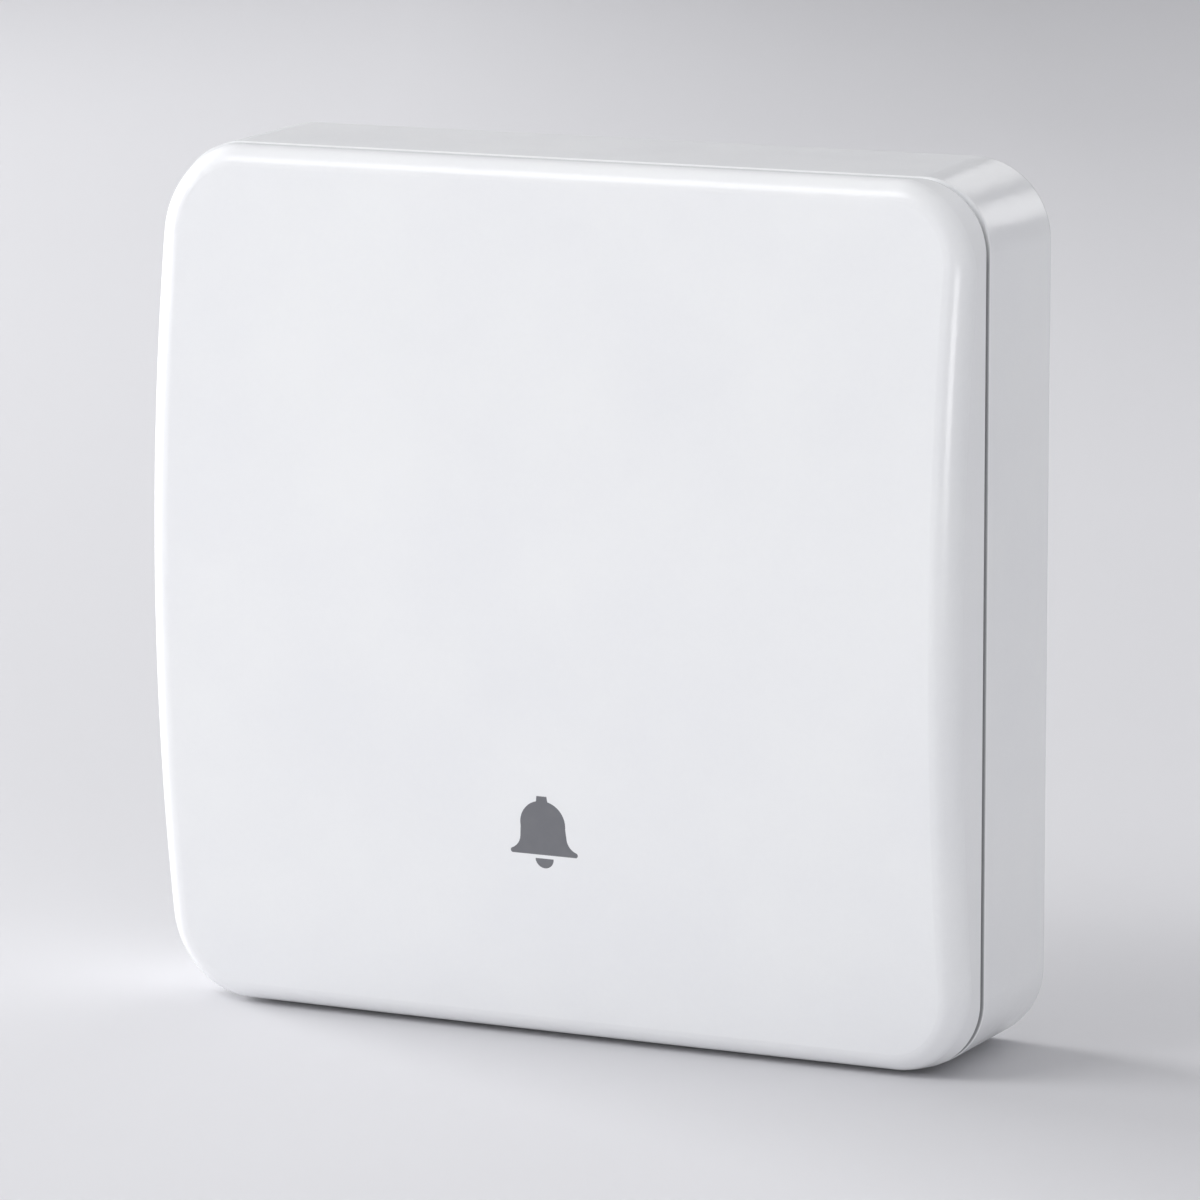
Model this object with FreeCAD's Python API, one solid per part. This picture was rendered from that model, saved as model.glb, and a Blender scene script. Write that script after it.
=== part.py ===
import FreeCAD, Part
import math
import os

# Wall-mounted doorbell push button whose whole front cover is the push plate.
# Frame: origin at the centre of the wall face, +X to the right seen from the front,
# +Z up, the front faces -Y. "out" is a distance from the wall face towards the front,
# so a point's Y is minus its out. All sizes are millimetres.

Vector = FreeCAD.Vector

# Overall form
width = 86.0              # across the seam
height = 86.0
corner_r = 6.8            # corner of the outline at the seam
rear_draft = 0.45         # each side is this much further out at the wall
rear_corner_r = 7.8       # corner of the outline at the wall
housing_depth = 15.0      # wall face to the housing's front rim
total_depth = 23.9        # wall face to the top of the plate's crown
seam_play = 0.1           # seam left open with the press plate pushed home
crown_z = 4.7             # rise of the plate's face over half its height
crown_x = 0.3             # the same over half its width
edge_r = 2.5              # rounding around the plate's face
face_corner_r = 9.3       # corner of the plate's outline where its face begins

# Rear housing
housing_wall = 2.0
back_wall = 2.2
rebate_wall = 1.0         # wall left beside the plate's skirt
rear_edge_r = 0.6
rim_edge_r = 0.3
pocket_depth = 0.6        # shallow pockets in the wall face
pocket_margin = 8.5
pocket_rib = 3.0          # half width of the ribs left between the pockets
pocket_r = 2.0

# Seal, wall screws and cable entry
seal_inset = 3.2
seal_width = 2.4
seal_depth = 0.8
wall_screw_spacing = 60.3
slot_r = 2.1
slot_length = 7.0
slot_pad_r = 6.5          # pad left round each slot in the wall face
screw_window_r = 4.8      # screwdriver way through the chassis
cable_drop = 16.0         # cable entry below the top of the outline
cable_hole_r = 8.0
cable_bore_r = 3.5
cable_pad_r = 11.0
grommet_flange = 1.4      # flange reach beyond the hole
grommet_lip = 1.1         # flange thickness
neck_wall = 1.0
neck_taper = 1.4
neck_height = 2.5

# Press plate
plate_wall = 2.4
skirt_gap = 0.4           # skirt to the housing's rebate
skirt_reach = 1.8         # skirt behind the housing rim
skirt_play = 0.8          # skirt's tip to the rebate's floor with the plate pushed home
skirt_root = 1.5          # skirt sunk into the plate's rim
plate_rim_r = 0.3
rib_thick = 1.2
rib_height = 1.4
rib_inset_x = 23.0        # ribs from the sides of the outline
rib_inset_z = 14.0
edge_travel = 0.6         # travel of the plate's lower edge

# Chassis, the moulding that carries the works
chassis_plate = 2.2
chassis_gap = 0.4         # to the housing walls
flange_thick = 1.2
flange_height = 1.2
cable_window_x = 10.0     # half width of the window over the cable entry
cable_window_z = 6.0

# Hinge at the top of the plate
hinge_inset = 16.0        # pin's middle from the side of the outline
hinge_drop = 6.0          # pin below the top of the outline
hinge_height = 4.4        # pin above the chassis
pin_r = 1.0
pin_running_gap = 0.05
pin_bite = 0.02           # the pin is pressed into the ears
lug_wall = 1.3
lug_width = 5.0
ear_width = 2.5
ear_gap = 0.3

# Catches that hold the plate's lower edge
hook_x = 14.0
hook_width = 6.0
hook_leg = 1.6
hook_rise = 5.0           # middle of the leg above the bottom of the outline
hook_nose = 1.7
hook_nose_height = 1.8
hook_lead = 1.2           # height of the nose's slanted side
hook_play = 0.1
hook_slot_gap = 0.4
hook_catch_gap = 0.7      # leg to the edge that the nose catches

# Return springs
spring_inset = 21.0
spring_rise = 17.0
spring_r = 2.5            # middle of the wire
spring_wire_r = 0.225
spring_turns = 6.5
spring_seat_gap = 0.02
cup_gap = 0.4
cup_wall = 1.1
cup_depth = 3.0
cup_base = 2.2            # solid boss between the plate's wall and the spring, clear of the ribs
spigot_gap = 0.3
spigot_height = 1.6

# Rubber stops
stop_inset = 14.0
stop_rise = 10.0
stop_r = 2.2
stop_height = 3.0
stop_recess = 0.6
stop_post_r = 1.8
stop_play = 0.03

# Fixing screws: four hold the chassis, one the terminal block
screw_r = 1.4
screw_head_r = 2.6
screw_head = 1.9
screw_head_edge_r = 0.6
screw_clearance = 0.2
screw_bite = 0.2
screw_floor = 1.4         # screw's tip to the back wall
pilot_floor = 0.4         # pilot hole's end to the back wall
boss_r = 3.2
boss_cover = 0.8          # boss beyond the tip of the terminal block's screw
upper_screw_inset = 8.5
upper_screw_drop = 15.0
lower_screw_inset = 8.0
lower_screw_rise = 21.0
drive_width = 0.7
drive_depth = 1.0
drive_reach = 1.6

# Switch, behind the bell mark
switch_length = 19.8
switch_thick = 6.4
base_height = 5.2
switch_wall = 0.9
cap_wall = 1.0
cap_edge_r = 0.4
strip_level = 3.2         # top of the base's solid floor
switch_hole_x = 4.75
switch_hole_level = 1.6
cradle_gap = 0.1
cradle_wall = 1.8
cradle_height = 4.4
cradle_length = 16.0
small_screw_r = 0.9
small_screw_bite = 0.12
small_screw_gap = 0.1
small_screw_short = 0.2   # tip inside the cradle's far cheek
small_head_r = 1.5
small_head = 1.3
stem_r = 1.25
stem_edge_r = 0.3
stem_running_gap = 0.05
stem_proud = 0.8
collar_r = 2.0
collar_thick = 0.8
plunger_tip_r = 1.4
tip_reach = 1.05          # plunger's tip to its collar
push_gap = 0.05           # post to plunger, and plunger to leaf
post_r = 2.5
post_length = 0.6

# Contacts
strip_thick = 0.6
strip_width = 3.0
strip_slot_gap = 0.1
strip_end_gap = 0.5       # strip's end inside the clamp
leaf_thick = 0.25
leaf_width = 3.2
leaf_seat_gap = 0.02
anchor_x = -8.6
pivot_x = -6.6
leaf_end = 7.0
contact_x = 5.5
contact_r = 1.2
fixed_contact_height = 0.6
leaf_contact_height = 0.5
closed_gap = 0.02         # left between the contacts with the plate pressed home

# Terminals
terminal_x = 12.0
terminal_drop = 14.0      # below the cable entry
block_x = 17.5
block_z = 6.5
block_edge_r = 0.8
block_screw_gap = 0.4
clamp_width = 7.4
clamp_length = 9.0
clamp_gap = 0.15
clamp_side = 1.3
clamp_rear = 1.6
clamp_window = 3.2
clamp_front = 1.4
wire_space = 2.0          # strip to screw tip with the screw backed off
wire_hole_r = 1.5
terminal_screw_r = 1.75
terminal_thread_bite = 0.1
terminal_head_r = 2.9
terminal_head = 1.4
terminal_head_edge_r = 0.4
terminal_head_lift = 0.3
head_cover = 0.3          # terminal block beyond the screw heads
head_slot_width = 0.9

# Bell mark, an inlay in the plate's face
bell_rise = 21.2          # middle of the mark above the bottom of the outline
bell_width = 7.2
bell_height = 7.3
bell_inlay = 0.3

# Overlap of joined solids, and how far a cutting solid runs past a surface
joint_lap = 0.5
over = 1.0
overdraw = 1.2            # the crown is drawn this many times wider than the outline
least_r = 0.4             # rounding left where an inset eats a corner
edge_share = 0.8          # most of the plate's rim that the rounding of its face may take

# Places worked out from the sizes above
half_w = width / 2
half_h = height / 2
plate_out = housing_depth + edge_travel + seam_play
rebate_depth = skirt_reach + edge_travel + skirt_play
chassis_inset = housing_wall + chassis_gap
rib_x = half_w - rib_inset_x
rib_z = half_h - rib_inset_z
cable_z = half_h - cable_drop
terminal_z = cable_z - terminal_drop
bell_z = bell_rise - half_h
switch_z = bell_z
hinge_x = half_w - hinge_inset
hinge_z = half_h - hinge_drop
hook_z = hook_rise - half_h
spring_x = half_w - spring_inset
spring_z = spring_rise - half_h
stop_x = half_w - stop_inset
stop_z = stop_rise - half_h
upper_screw = (half_w - upper_screw_inset, half_h - upper_screw_drop)
lower_screw = (half_w - lower_screw_inset, lower_screw_rise - half_h)
press_angle = math.degrees(math.asin(edge_travel / (hinge_z + half_h)))
lug_r = pin_r + lug_wall
pin_length = lug_width + 2 * (ear_gap + ear_width)
spring_od_r = spring_r + spring_wire_r


def crown_radius(half_span, rise):
    return (half_span ** 2 + rise ** 2) / (2 * rise)


def face_out(z):
    # how far out the plate's outer face stands on its centre line
    return total_depth - crown_z * (z / half_h) ** 2


def travel(z):
    # how far the plate moves in at height z when it is pressed home
    return (hinge_z - z) * math.sin(math.radians(press_angle))


# The stack behind the bell mark sets how far out the chassis stands
leaf_lever = contact_x + contact_r - pivot_x
contact_gap = travel(switch_z) * leaf_lever / -pivot_x + closed_gap
leaf_level = strip_level + strip_thick + fixed_contact_height + contact_gap + leaf_contact_height
switch_height = leaf_level + leaf_thick + push_gap + tip_reach + collar_thick + push_gap + cap_wall
plunger_top = face_out(switch_z) - plate_wall - post_length - push_gap
switch_top = plunger_top - stem_proud
chassis_face = switch_top - switch_height
chassis_out = chassis_face - chassis_plate
hinge_out = chassis_face + hinge_height
base_top = chassis_face + base_height
strip_out = chassis_face + strip_level
strip_top = strip_out + strip_thick
leaf_out = chassis_face + leaf_level
clamp_out = strip_out - clamp_rear
clamp_top = strip_out + clamp_window + clamp_front
block_face = clamp_top + terminal_head_lift + terminal_head + head_cover
stop_top = chassis_face - stop_recess + stop_height
cup_floor = face_out(spring_z) - plate_wall - cup_base
screw_length = chassis_face - back_wall - screw_floor
face_edge_r = min(edge_r, edge_share * (total_depth - crown_z - crown_x - plate_out))


def block(x0, x1, out0, out1, z0, z1):
    return Part.makeBox(x1 - x0, out1 - out0, z1 - z0, Vector(x0, -out1, z0))


def bar(x, z, radius, out0, out1):
    return Part.makeCylinder(radius, out1 - out0, Vector(x, -out0, z), Vector(0, -1, 0))


def bar_along_x(x0, x1, out, z, radius):
    return Part.makeCylinder(radius, x1 - x0, Vector(x0, -out, z), Vector(1, 0, 0))


def bar_along_z(x, out, z0, z1, radius):
    return Part.makeCylinder(radius, z1 - z0, Vector(x, -out, z0), Vector(0, 0, 1))


def rounded_rectangle(x0, x1, z0, z1, radius, out):
    centres = [(x1 - radius, z0 + radius, -90), (x1 - radius, z1 - radius, 0),
               (x0 + radius, z1 - radius, 90), (x0 + radius, z0 + radius, 180)]

    def on_arc(x, z, degrees):
        turn = math.radians(degrees)
        return Vector(x + radius * math.cos(turn), -out, z + radius * math.sin(turn))

    arcs = [[on_arc(x, z, start + step) for step in (0, 45, 90)] for x, z, start in centres]
    edges = []
    for i, (enter, middle, leave) in enumerate(arcs):
        edges.append(Part.Arc(enter, middle, leave).toShape())
        following = arcs[(i + 1) % 4][0]
        if leave.distanceToPoint(following) > 1e-6:
            edges.append(Part.makeLine(leave, following))
    return Part.Wire(edges)


def outline(inset, out, corner=corner_r):
    # the object's outline, drawn in by inset
    radius = max(corner - inset, least_r)
    return rounded_rectangle(inset - half_w, half_w - inset, inset - half_h, half_h - inset, radius, out)


def prism(wire, depth):
    return Part.Face(wire).extrude(Vector(0, -depth, 0))


def outline_prism(inset, out0, out1):
    return prism(outline(inset, out0), out1 - out0)


def plate_sides():
    # the plate's corners grow rounder from its rim towards its face
    growth = (face_corner_r - corner_r) / (total_depth - crown_z - crown_x - plate_out)
    top = total_depth + over
    return Part.makeLoft([outline(0, plate_out), outline(0, top, corner_r + growth * (top - plate_out))], True, True)


def crowned_block(inset, out0, sides=None):
    # what lies under the plate's face, drawn in by inset all over
    radius_z = crown_radius(half_h, crown_z)
    radius_x = crown_radius(half_w, crown_x) - inset
    apex = total_depth - inset
    reach = half_w * overdraw
    side = apex - radius_x + math.sqrt(radius_x ** 2 - reach ** 2)
    floor = out0 - over
    arc = Part.Arc(Vector(-reach, -side, 0), Vector(0, -apex, 0), Vector(reach, -side, 0)).toShape()
    right = Part.makeLine(Vector(reach, -side, 0), Vector(reach, -floor, 0))
    rear = Part.makeLine(Vector(reach, -floor, 0), Vector(-reach, -floor, 0))
    left = Part.makeLine(Vector(-reach, -floor, 0), Vector(-reach, -side, 0))
    face = Part.Face(Part.Wire([arc, right, rear, left]))
    centre = Vector(0, radius_z - total_depth, 0)
    swing = math.degrees(math.asin(half_h * overdraw / (radius_z - inset)))
    face.rotate(centre, Vector(1, 0, 0), -swing)
    crown = face.revolve(centre, Vector(1, 0, 0), 2 * swing)
    body = crown.common(sides or outline_prism(inset, out0, total_depth + over))
    front = min(body.Faces, key=lambda f: f.CenterOfMass.y)
    return body.makeFillet(max(face_edge_r - inset, least_r), front.Edges)


def edges_at(shape, out, slack=0.01):
    # the edges that lie wholly in the plane at this distance from the wall
    return [e for e in shape.Edges
            if abs(e.BoundBox.YMin + out) < slack and abs(e.BoundBox.YMax + out) < slack]


def slot(x, z, radius, length, out0, out1):
    half = length / 2
    wire = rounded_rectangle(x - half, x + half, z - radius, z + radius, radius, out0)
    return prism(wire, out1 - out0)


def drive_cross(x, z, out):
    half = drive_width / 2
    return block(x - drive_reach, x + drive_reach, out - drive_depth, out + over, z - half, z + half).fuse(
        block(x - half, x + half, out - drive_depth, out + over, z - drive_reach, z + drive_reach))


def screw_places():
    return [(side * x, z) for x, z in (upper_screw, lower_screw) for side in (-1, 1)]


def rear_housing():
    rear = outline(-rear_draft, 0, rear_corner_r - rear_draft)
    body = Part.makeLoft([rear, outline(0, housing_depth)], True, True)
    body = body.makeFillet(rear_edge_r, edges_at(body, 0))
    body = body.makeFillet(rim_edge_r, edges_at(body, housing_depth))
    body = body.cut(outline_prism(housing_wall, back_wall, housing_depth + over))
    body = body.cut(outline_prism(rebate_wall, housing_depth - rebate_depth, housing_depth + over))
    for x, z in screw_places():
        body = body.fuse(bar(x, z, boss_r, back_wall - joint_lap, chassis_out))
        body = body.cut(bar(x, z, screw_r - screw_bite, back_wall + pilot_floor, chassis_out + over))
    for side in (-1, 1):
        x = side * wall_screw_spacing / 2
        body = body.cut(slot(x, 0, slot_r, slot_length, -over, back_wall + over))
    body = body.cut(bar(0, cable_z, cable_hole_r, -over, back_wall + over))
    body = body.cut(bar(0, cable_z, cable_hole_r + grommet_flange, -over, grommet_lip))
    body = body.cut(wall_face_pockets())
    body = body.cut(seal_ring())
    return body.removeSplitter()


def wall_face_pockets():
    x1 = half_w - pocket_margin
    z1 = half_h - pocket_margin
    pockets = []
    for sx in (-1, 1):
        for sz in (-1, 1):
            xs = sorted((sx * pocket_rib, sx * x1))
            zs = sorted((sz * pocket_rib, sz * z1))
            wire = rounded_rectangle(xs[0], xs[1], zs[0], zs[1], pocket_r, 0)
            pockets.append(prism(wire, pocket_depth))
    shape = pockets[0].fuse(pockets[1:])
    shape = shape.cut(bar(0, cable_z, cable_pad_r, -over, pocket_depth + over))
    for side in (-1, 1):
        shape = shape.cut(bar(side * wall_screw_spacing / 2, 0, slot_pad_r, -over, pocket_depth + over))
    return shape


def seal_ring():
    outer = outline_prism(seal_inset, 0, seal_depth)
    return outer.cut(outline_prism(seal_inset + seal_width, -over, seal_depth + over))


def cable_grommet():
    flange = cable_hole_r + grommet_flange
    neck_base = back_wall + grommet_lip
    rear = bar(0, cable_z, flange, 0, grommet_lip)
    web = bar(0, cable_z, cable_hole_r, 0, back_wall)
    inner = bar(0, cable_z, flange, back_wall, neck_base)
    neck = Part.makeCone(cable_bore_r + neck_wall + neck_taper, cable_bore_r + neck_wall, neck_height,
                         Vector(0, -neck_base, cable_z), Vector(0, -1, 0))
    body = web.fuse([rear, inner, neck])
    bore = bar(0, cable_z, cable_bore_r, -over, neck_base + neck_height + over)
    return body.cut(bore).removeSplitter()


def chassis():
    body = outline_prism(chassis_inset, chassis_out, chassis_face)
    flange_top = chassis_face + flange_height
    flange = outline_prism(chassis_inset, chassis_face, flange_top)
    flange = flange.cut(outline_prism(chassis_inset + flange_thick, chassis_face - over, flange_top + over))
    body = body.fuse([flange, hinge_ears(), switch_cradle(), spring_spigots(), block_boss()])
    for x, z in screw_places():
        body = body.cut(bar(x, z, screw_r + screw_clearance, chassis_out - over, chassis_face + over))
    body = body.cut(bar(0, terminal_z, screw_r - screw_bite, 0, chassis_face + over))
    for side in (-1, 1):
        wall_screw_x = side * wall_screw_spacing / 2
        body = body.cut(bar(wall_screw_x, 0, screw_window_r, chassis_out - over, flange_top + over))
        body = body.cut(hook_slot(side))
        body = body.cut(bar(side * stop_x, stop_z, stop_r, chassis_face - stop_recess, chassis_face + over))
    window = rounded_rectangle(-cable_window_x, cable_window_x, cable_z - cable_window_z,
                               cable_z + cable_window_z, pocket_r, chassis_out - over)
    return body.cut(prism(window, chassis_plate + 2 * over)).removeSplitter()


def block_boss():
    # takes the terminal block's screw, behind the chassis
    end = min(clamp_out - screw_length - boss_cover, chassis_out)
    return bar(0, terminal_z, boss_r, end, chassis_out + joint_lap)


def hinge_ears():
    ears = []
    for side in (-1, 1):
        for step in (-1, 1):
            near = side * hinge_x + step * (lug_width / 2 + ear_gap)
            x0, x1 = sorted((near, near + step * ear_width))
            post = block(x0, x1, chassis_face - joint_lap, hinge_out, hinge_z - lug_r, hinge_z + lug_r)
            head = bar_along_x(x0, x1, hinge_out, hinge_z, lug_r)
            hole = bar_along_x(x0 - over, x1 + over, hinge_out, hinge_z, pin_r - pin_bite)
            ears.append(post.fuse(head).cut(hole))
    return ears[0].fuse(ears[1:])


def switch_cradle():
    cheeks = []
    half = cradle_length / 2
    level = chassis_face + switch_hole_level
    inner = switch_thick / 2 + cradle_gap
    for step, hole_r in ((1, small_screw_r + small_screw_gap), (-1, small_screw_r - small_screw_bite)):
        z0, z1 = sorted((switch_z + step * inner, switch_z + step * (inner + cradle_wall)))
        cheek = block(-half, half, chassis_face - joint_lap, chassis_face + cradle_height, z0, z1)
        for x in (-switch_hole_x, switch_hole_x):
            cheek = cheek.cut(bar_along_z(x, level, z0 - over, z1 + over, hole_r))
        cheeks.append(cheek)
    return cheeks[0].fuse(cheeks[1])


def spring_spigots():
    radius = spring_r - spring_wire_r - spigot_gap
    spigots = [bar(side * spring_x, spring_z, radius, chassis_face - joint_lap, chassis_face + spigot_height)
               for side in (-1, 1)]
    return spigots[0].fuse(spigots[1])


def hook_slot(side):
    x0 = side * hook_x - hook_width / 2 - hook_slot_gap
    x1 = side * hook_x + hook_width / 2 + hook_slot_gap
    z0 = hook_z - hook_leg / 2 - hook_slot_gap
    z1 = hook_z + hook_leg / 2 + hook_catch_gap
    return block(x0, x1, chassis_out - over, chassis_face + over, z0, z1)


def press_plate():
    outer = crowned_block(0, plate_out, plate_sides())
    outer = outer.makeFillet(plate_rim_r, edges_at(outer, plate_out))
    skirt_tip = housing_depth - skirt_reach
    skirt = outline_prism(rebate_wall + skirt_gap, skirt_tip, plate_out + skirt_root)
    shell = outer.fuse(skirt).cut(crowned_block(plate_wall, skirt_tip - over))
    middle = crowned_block(plate_wall / 2, 0)
    features = plate_lugs() + plate_hooks() + plate_posts() + spring_cups()
    inside = [f.common(middle) for f in features] + plate_ribs(middle)
    return shell.fuse(inside).cut(bell_prism().cut(crowned_block(bell_inlay, 0))).removeSplitter()


def plate_ribs(middle):
    # the ribs follow the crown inside the plate
    layer = middle.cut(crowned_block(plate_wall + rib_height, 0))
    half = rib_thick / 2
    ribs = []
    for step in (-1, 1):
        upright = block(step * rib_x - half, step * rib_x + half, 0, total_depth, -rib_z, rib_z)
        level = block(-rib_x, rib_x, 0, total_depth, step * rib_z - half, step * rib_z + half)
        ribs.append(upright.common(layer))
        ribs.append(level.common(layer))
    return ribs


def plate_lugs():
    lugs = []
    for side in (-1, 1):
        x0 = side * hinge_x - lug_width / 2
        x1 = x0 + lug_width
        post = block(x0, x1, hinge_out, total_depth, hinge_z - lug_r, hinge_z + lug_r)
        head = bar_along_x(x0, x1, hinge_out, hinge_z, lug_r)
        hole = bar_along_x(x0 - over, x1 + over, hinge_out, hinge_z, pin_r + pin_running_gap)
        lugs.append(post.fuse(head).cut(hole))
    return lugs


def plate_hooks():
    catch_out = chassis_out - hook_play
    tip_out = catch_out - hook_nose_height
    front_z = hook_z + hook_leg / 2
    root_z = front_z - joint_lap
    nose_z = front_z + hook_nose
    profile = [(catch_out, root_z), (catch_out, nose_z), (tip_out + hook_lead, nose_z),
               (tip_out, front_z), (tip_out, root_z)]
    hooks = []
    for side in (-1, 1):
        x0 = side * hook_x - hook_width / 2
        leg = block(x0, x0 + hook_width, tip_out, total_depth, hook_z - hook_leg / 2, front_z)
        corners = [Vector(x0, -out, z) for out, z in profile + profile[:1]]
        nose = Part.Face(Part.makePolygon(corners)).extrude(Vector(hook_width, 0, 0))
        hooks.append(leg.fuse(nose))
    return hooks


def plate_posts():
    posts = [bar(0, switch_z, post_r, plunger_top + push_gap, total_depth)]
    stop_post_out = stop_top + travel(stop_z) + stop_play
    for side in (-1, 1):
        posts.append(bar(side * stop_x, stop_z, stop_post_r, stop_post_out, total_depth))
    return posts


def spring_cups():
    bore_r = spring_od_r + cup_gap
    cups = []
    for side in (-1, 1):
        outside = bar(side * spring_x, spring_z, bore_r + cup_wall, cup_floor - cup_depth, total_depth)
        cups.append(outside.cut(bar(side * spring_x, spring_z, bore_r, 0, cup_floor)))
    return cups


def bell_prism():
    # an ordinary bell: stub, dome, flared lip, and a half-round clapper below a thin gap
    half = bell_width / 2
    top = bell_z + bell_height / 2
    behind = face_out(bell_z - bell_height) - bell_inlay - over

    def point(across, down):
        # across in half widths, down in heights of the mark
        return Vector(across * half, -behind, top - down * bell_height)

    def side(s):
        stub = Part.makeLine(point(s * 0.15, 0), point(s * 0.17, 0.075))
        dome = Part.Arc(point(s * 0.17, 0.075), point(s * 0.54, 0.195), point(s * 0.665, 0.43)).toShape()
        waist = Part.makeLine(point(s * 0.665, 0.43), point(s * 0.69, 0.575))
        flare = Part.Arc(point(s * 0.69, 0.575), point(s * 0.765, 0.675), point(s * 0.94, 0.745)).toShape()
        lip = Part.Arc(point(s * 0.94, 0.745), point(s * 1.0, 0.785), point(s * 0.95, 0.815)).toShape()
        return [stub, dome, waist, flare, lip]

    top_edge = Part.makeLine(point(0.15, 0), point(-0.15, 0))
    lip_edge = Part.makeLine(point(-0.95, 0.815), point(0.95, 0.815))
    dome_wire = Part.Wire([top_edge] + side(-1) + [lip_edge] + side(1)[::-1])
    clapper_arc = Part.Arc(point(-0.27, 0.865), point(0, 1.0), point(0.27, 0.865)).toShape()
    clapper_wire = Part.Wire([clapper_arc, Part.makeLine(point(0.27, 0.865), point(-0.27, 0.865))])
    depth = total_depth + over - behind
    return prism(dome_wire, depth).fuse(prism(clapper_wire, depth))


def bell_mark():
    skin = crowned_block(0, plate_out).cut(crowned_block(bell_inlay, 0))
    return skin.common(bell_prism())


def hinge_pin(side):
    x = side * hinge_x
    return bar_along_x(x - pin_length / 2, x + pin_length / 2, hinge_out, hinge_z, pin_r)


def biarc(enter, leave):
    # two arcs that join two points smoothly, each point given with its direction
    (first, first_way), (last, last_way) = enter, leave
    chord = last - first
    spread = first_way + last_way
    a = 4 - spread.dot(spread)
    b = chord.dot(spread)
    reach = (math.sqrt(b * b + a * chord.dot(chord)) - b) / a
    corners = (first + first_way * reach, last - last_way * reach)
    joint = (corners[0] + corners[1]) / 2
    edges = []
    for start, corner, end in ((first, corners[0], joint), (joint, corners[1], last)):
        weight = math.cos((corner - start).getAngle(end - corner) / 2)
        middle = ((start + end) / 2 + corner * weight) / (1 + weight)
        edges.append(Part.Arc(start, middle, end).toShape())
    return edges


def return_spring(side):
    # the wire follows a biarc through each quarter turn
    start = chassis_face + spring_seat_gap + spring_wire_r
    end = cup_floor - spring_seat_gap - spring_wire_r
    lead = (end - start) / (spring_turns * math.tau)

    def on_coil(quarter):
        angle = quarter * math.pi / 2
        across, up = math.cos(angle), math.sin(angle)
        place = Vector(side * spring_x + spring_r * across, -start - lead * angle, spring_z + spring_r * up)
        return place, Vector(-spring_r * up, -lead, spring_r * across).normalize()

    edges = []
    for quarter in range(round(4 * spring_turns)):
        edges += biarc(on_coil(quarter), on_coil(quarter + 1))
    section = Part.Wire(Part.makeCircle(spring_wire_r, *on_coil(0)))
    return Part.Wire(edges).makePipeShell([section], True, False)


def stop_pad(side):
    return bar(side * stop_x, stop_z, stop_r, chassis_face - stop_recess, stop_top)


def fixing_screw(x, z, seat):
    top = seat + screw_head
    head = bar(x, z, screw_head_r, seat, top)
    head = head.makeFillet(screw_head_edge_r, edges_at(head, top))
    return head.fuse(bar(x, z, screw_r, seat - screw_length, seat)).cut(drive_cross(x, z, top))


def fixing_screws():
    screws = [fixing_screw(x, z, chassis_face) for x, z in screw_places()]
    screws.append(fixing_screw(0, terminal_z, clamp_out))
    return Part.makeCompound(screws)


def switch_box(out0, out1, inset):
    # a block of the switch's plan, drawn in by inset
    half_x = switch_length / 2 - inset
    half_z = switch_thick / 2 - inset
    return block(-half_x, half_x, out0, out1, switch_z - half_z, switch_z + half_z)


def switch_base():
    body = switch_box(chassis_face, base_top, 0)
    body = body.cut(switch_box(strip_out, base_top + over, switch_wall))
    slot_z = strip_width / 2 + strip_slot_gap
    end = switch_length / 2 + over
    body = body.cut(block(-end, end, strip_out, strip_top + strip_slot_gap,
                          switch_z - slot_z, switch_z + slot_z))
    side_z = switch_thick / 2 + over
    for x in (-switch_hole_x, switch_hole_x):
        body = body.cut(bar_along_z(x, chassis_face + switch_hole_level, switch_z - side_z, switch_z + side_z,
                                    small_screw_r + small_screw_gap))
    return body


def switch_cap():
    body = switch_box(base_top, switch_top, 0)
    body = body.makeFillet(cap_edge_r, edges_at(body, switch_top))
    body = body.cut(switch_box(base_top - over, switch_top - cap_wall, switch_wall))
    return body.cut(bar(0, switch_z, stem_r + stem_running_gap, base_top, switch_top + over))


def switch_screws():
    seat = switch_z + switch_thick / 2 + cradle_gap + cradle_wall
    tip = 2 * switch_z - seat + small_screw_short
    out = chassis_face + switch_hole_level
    half = drive_width / 2
    screws = []
    for x in (-switch_hole_x, switch_hole_x):
        head = bar_along_z(x, out, seat, seat + small_head, small_head_r)
        screw = head.fuse(bar_along_z(x, out, tip, seat, small_screw_r))
        screws.append(screw.cut(block(x - small_head_r, x + small_head_r, out - half, out + half,
                                      seat + small_head / 2, seat + small_head + over)))
    return Part.makeCompound(screws)


def switch_plunger():
    under_cap = switch_top - cap_wall - push_gap
    tip = leaf_out + leaf_thick + push_gap
    stem = bar(0, switch_z, stem_r, under_cap - collar_thick, plunger_top)
    stem = stem.makeFillet(stem_edge_r, edges_at(stem, plunger_top))
    collar = bar(0, switch_z, collar_r, under_cap - collar_thick, under_cap)
    neck = bar(0, switch_z, plunger_tip_r, tip + plunger_tip_r, under_cap)
    nose = Part.makeSphere(plunger_tip_r, Vector(0, -(tip + plunger_tip_r), switch_z),
                           Vector(0, -1, 0), -90, 0)
    return collar.fuse([stem, neck, nose]).removeSplitter()


def strip_blank(side, inner_x):
    # a flat stamping from the switch up to the terminal
    z0 = switch_z - strip_width / 2
    near = terminal_x - strip_width / 2
    far = terminal_x + strip_width / 2
    x0, x1 = sorted((side * inner_x, side * far))
    run = block(x0, x1, strip_out, strip_top, z0, z0 + strip_width)
    x0, x1 = sorted((side * near, side * far))
    rise = block(x0, x1, strip_out, strip_top, z0, terminal_z + clamp_length / 2 - strip_end_gap)
    return run.fuse(rise)


def common_strip():
    half = strip_width / 2
    anchor = block(anchor_x, pivot_x, strip_out, leaf_out - leaf_seat_gap, switch_z - half, switch_z + half)
    return strip_blank(-1, -pivot_x).fuse(anchor).removeSplitter()


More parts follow.
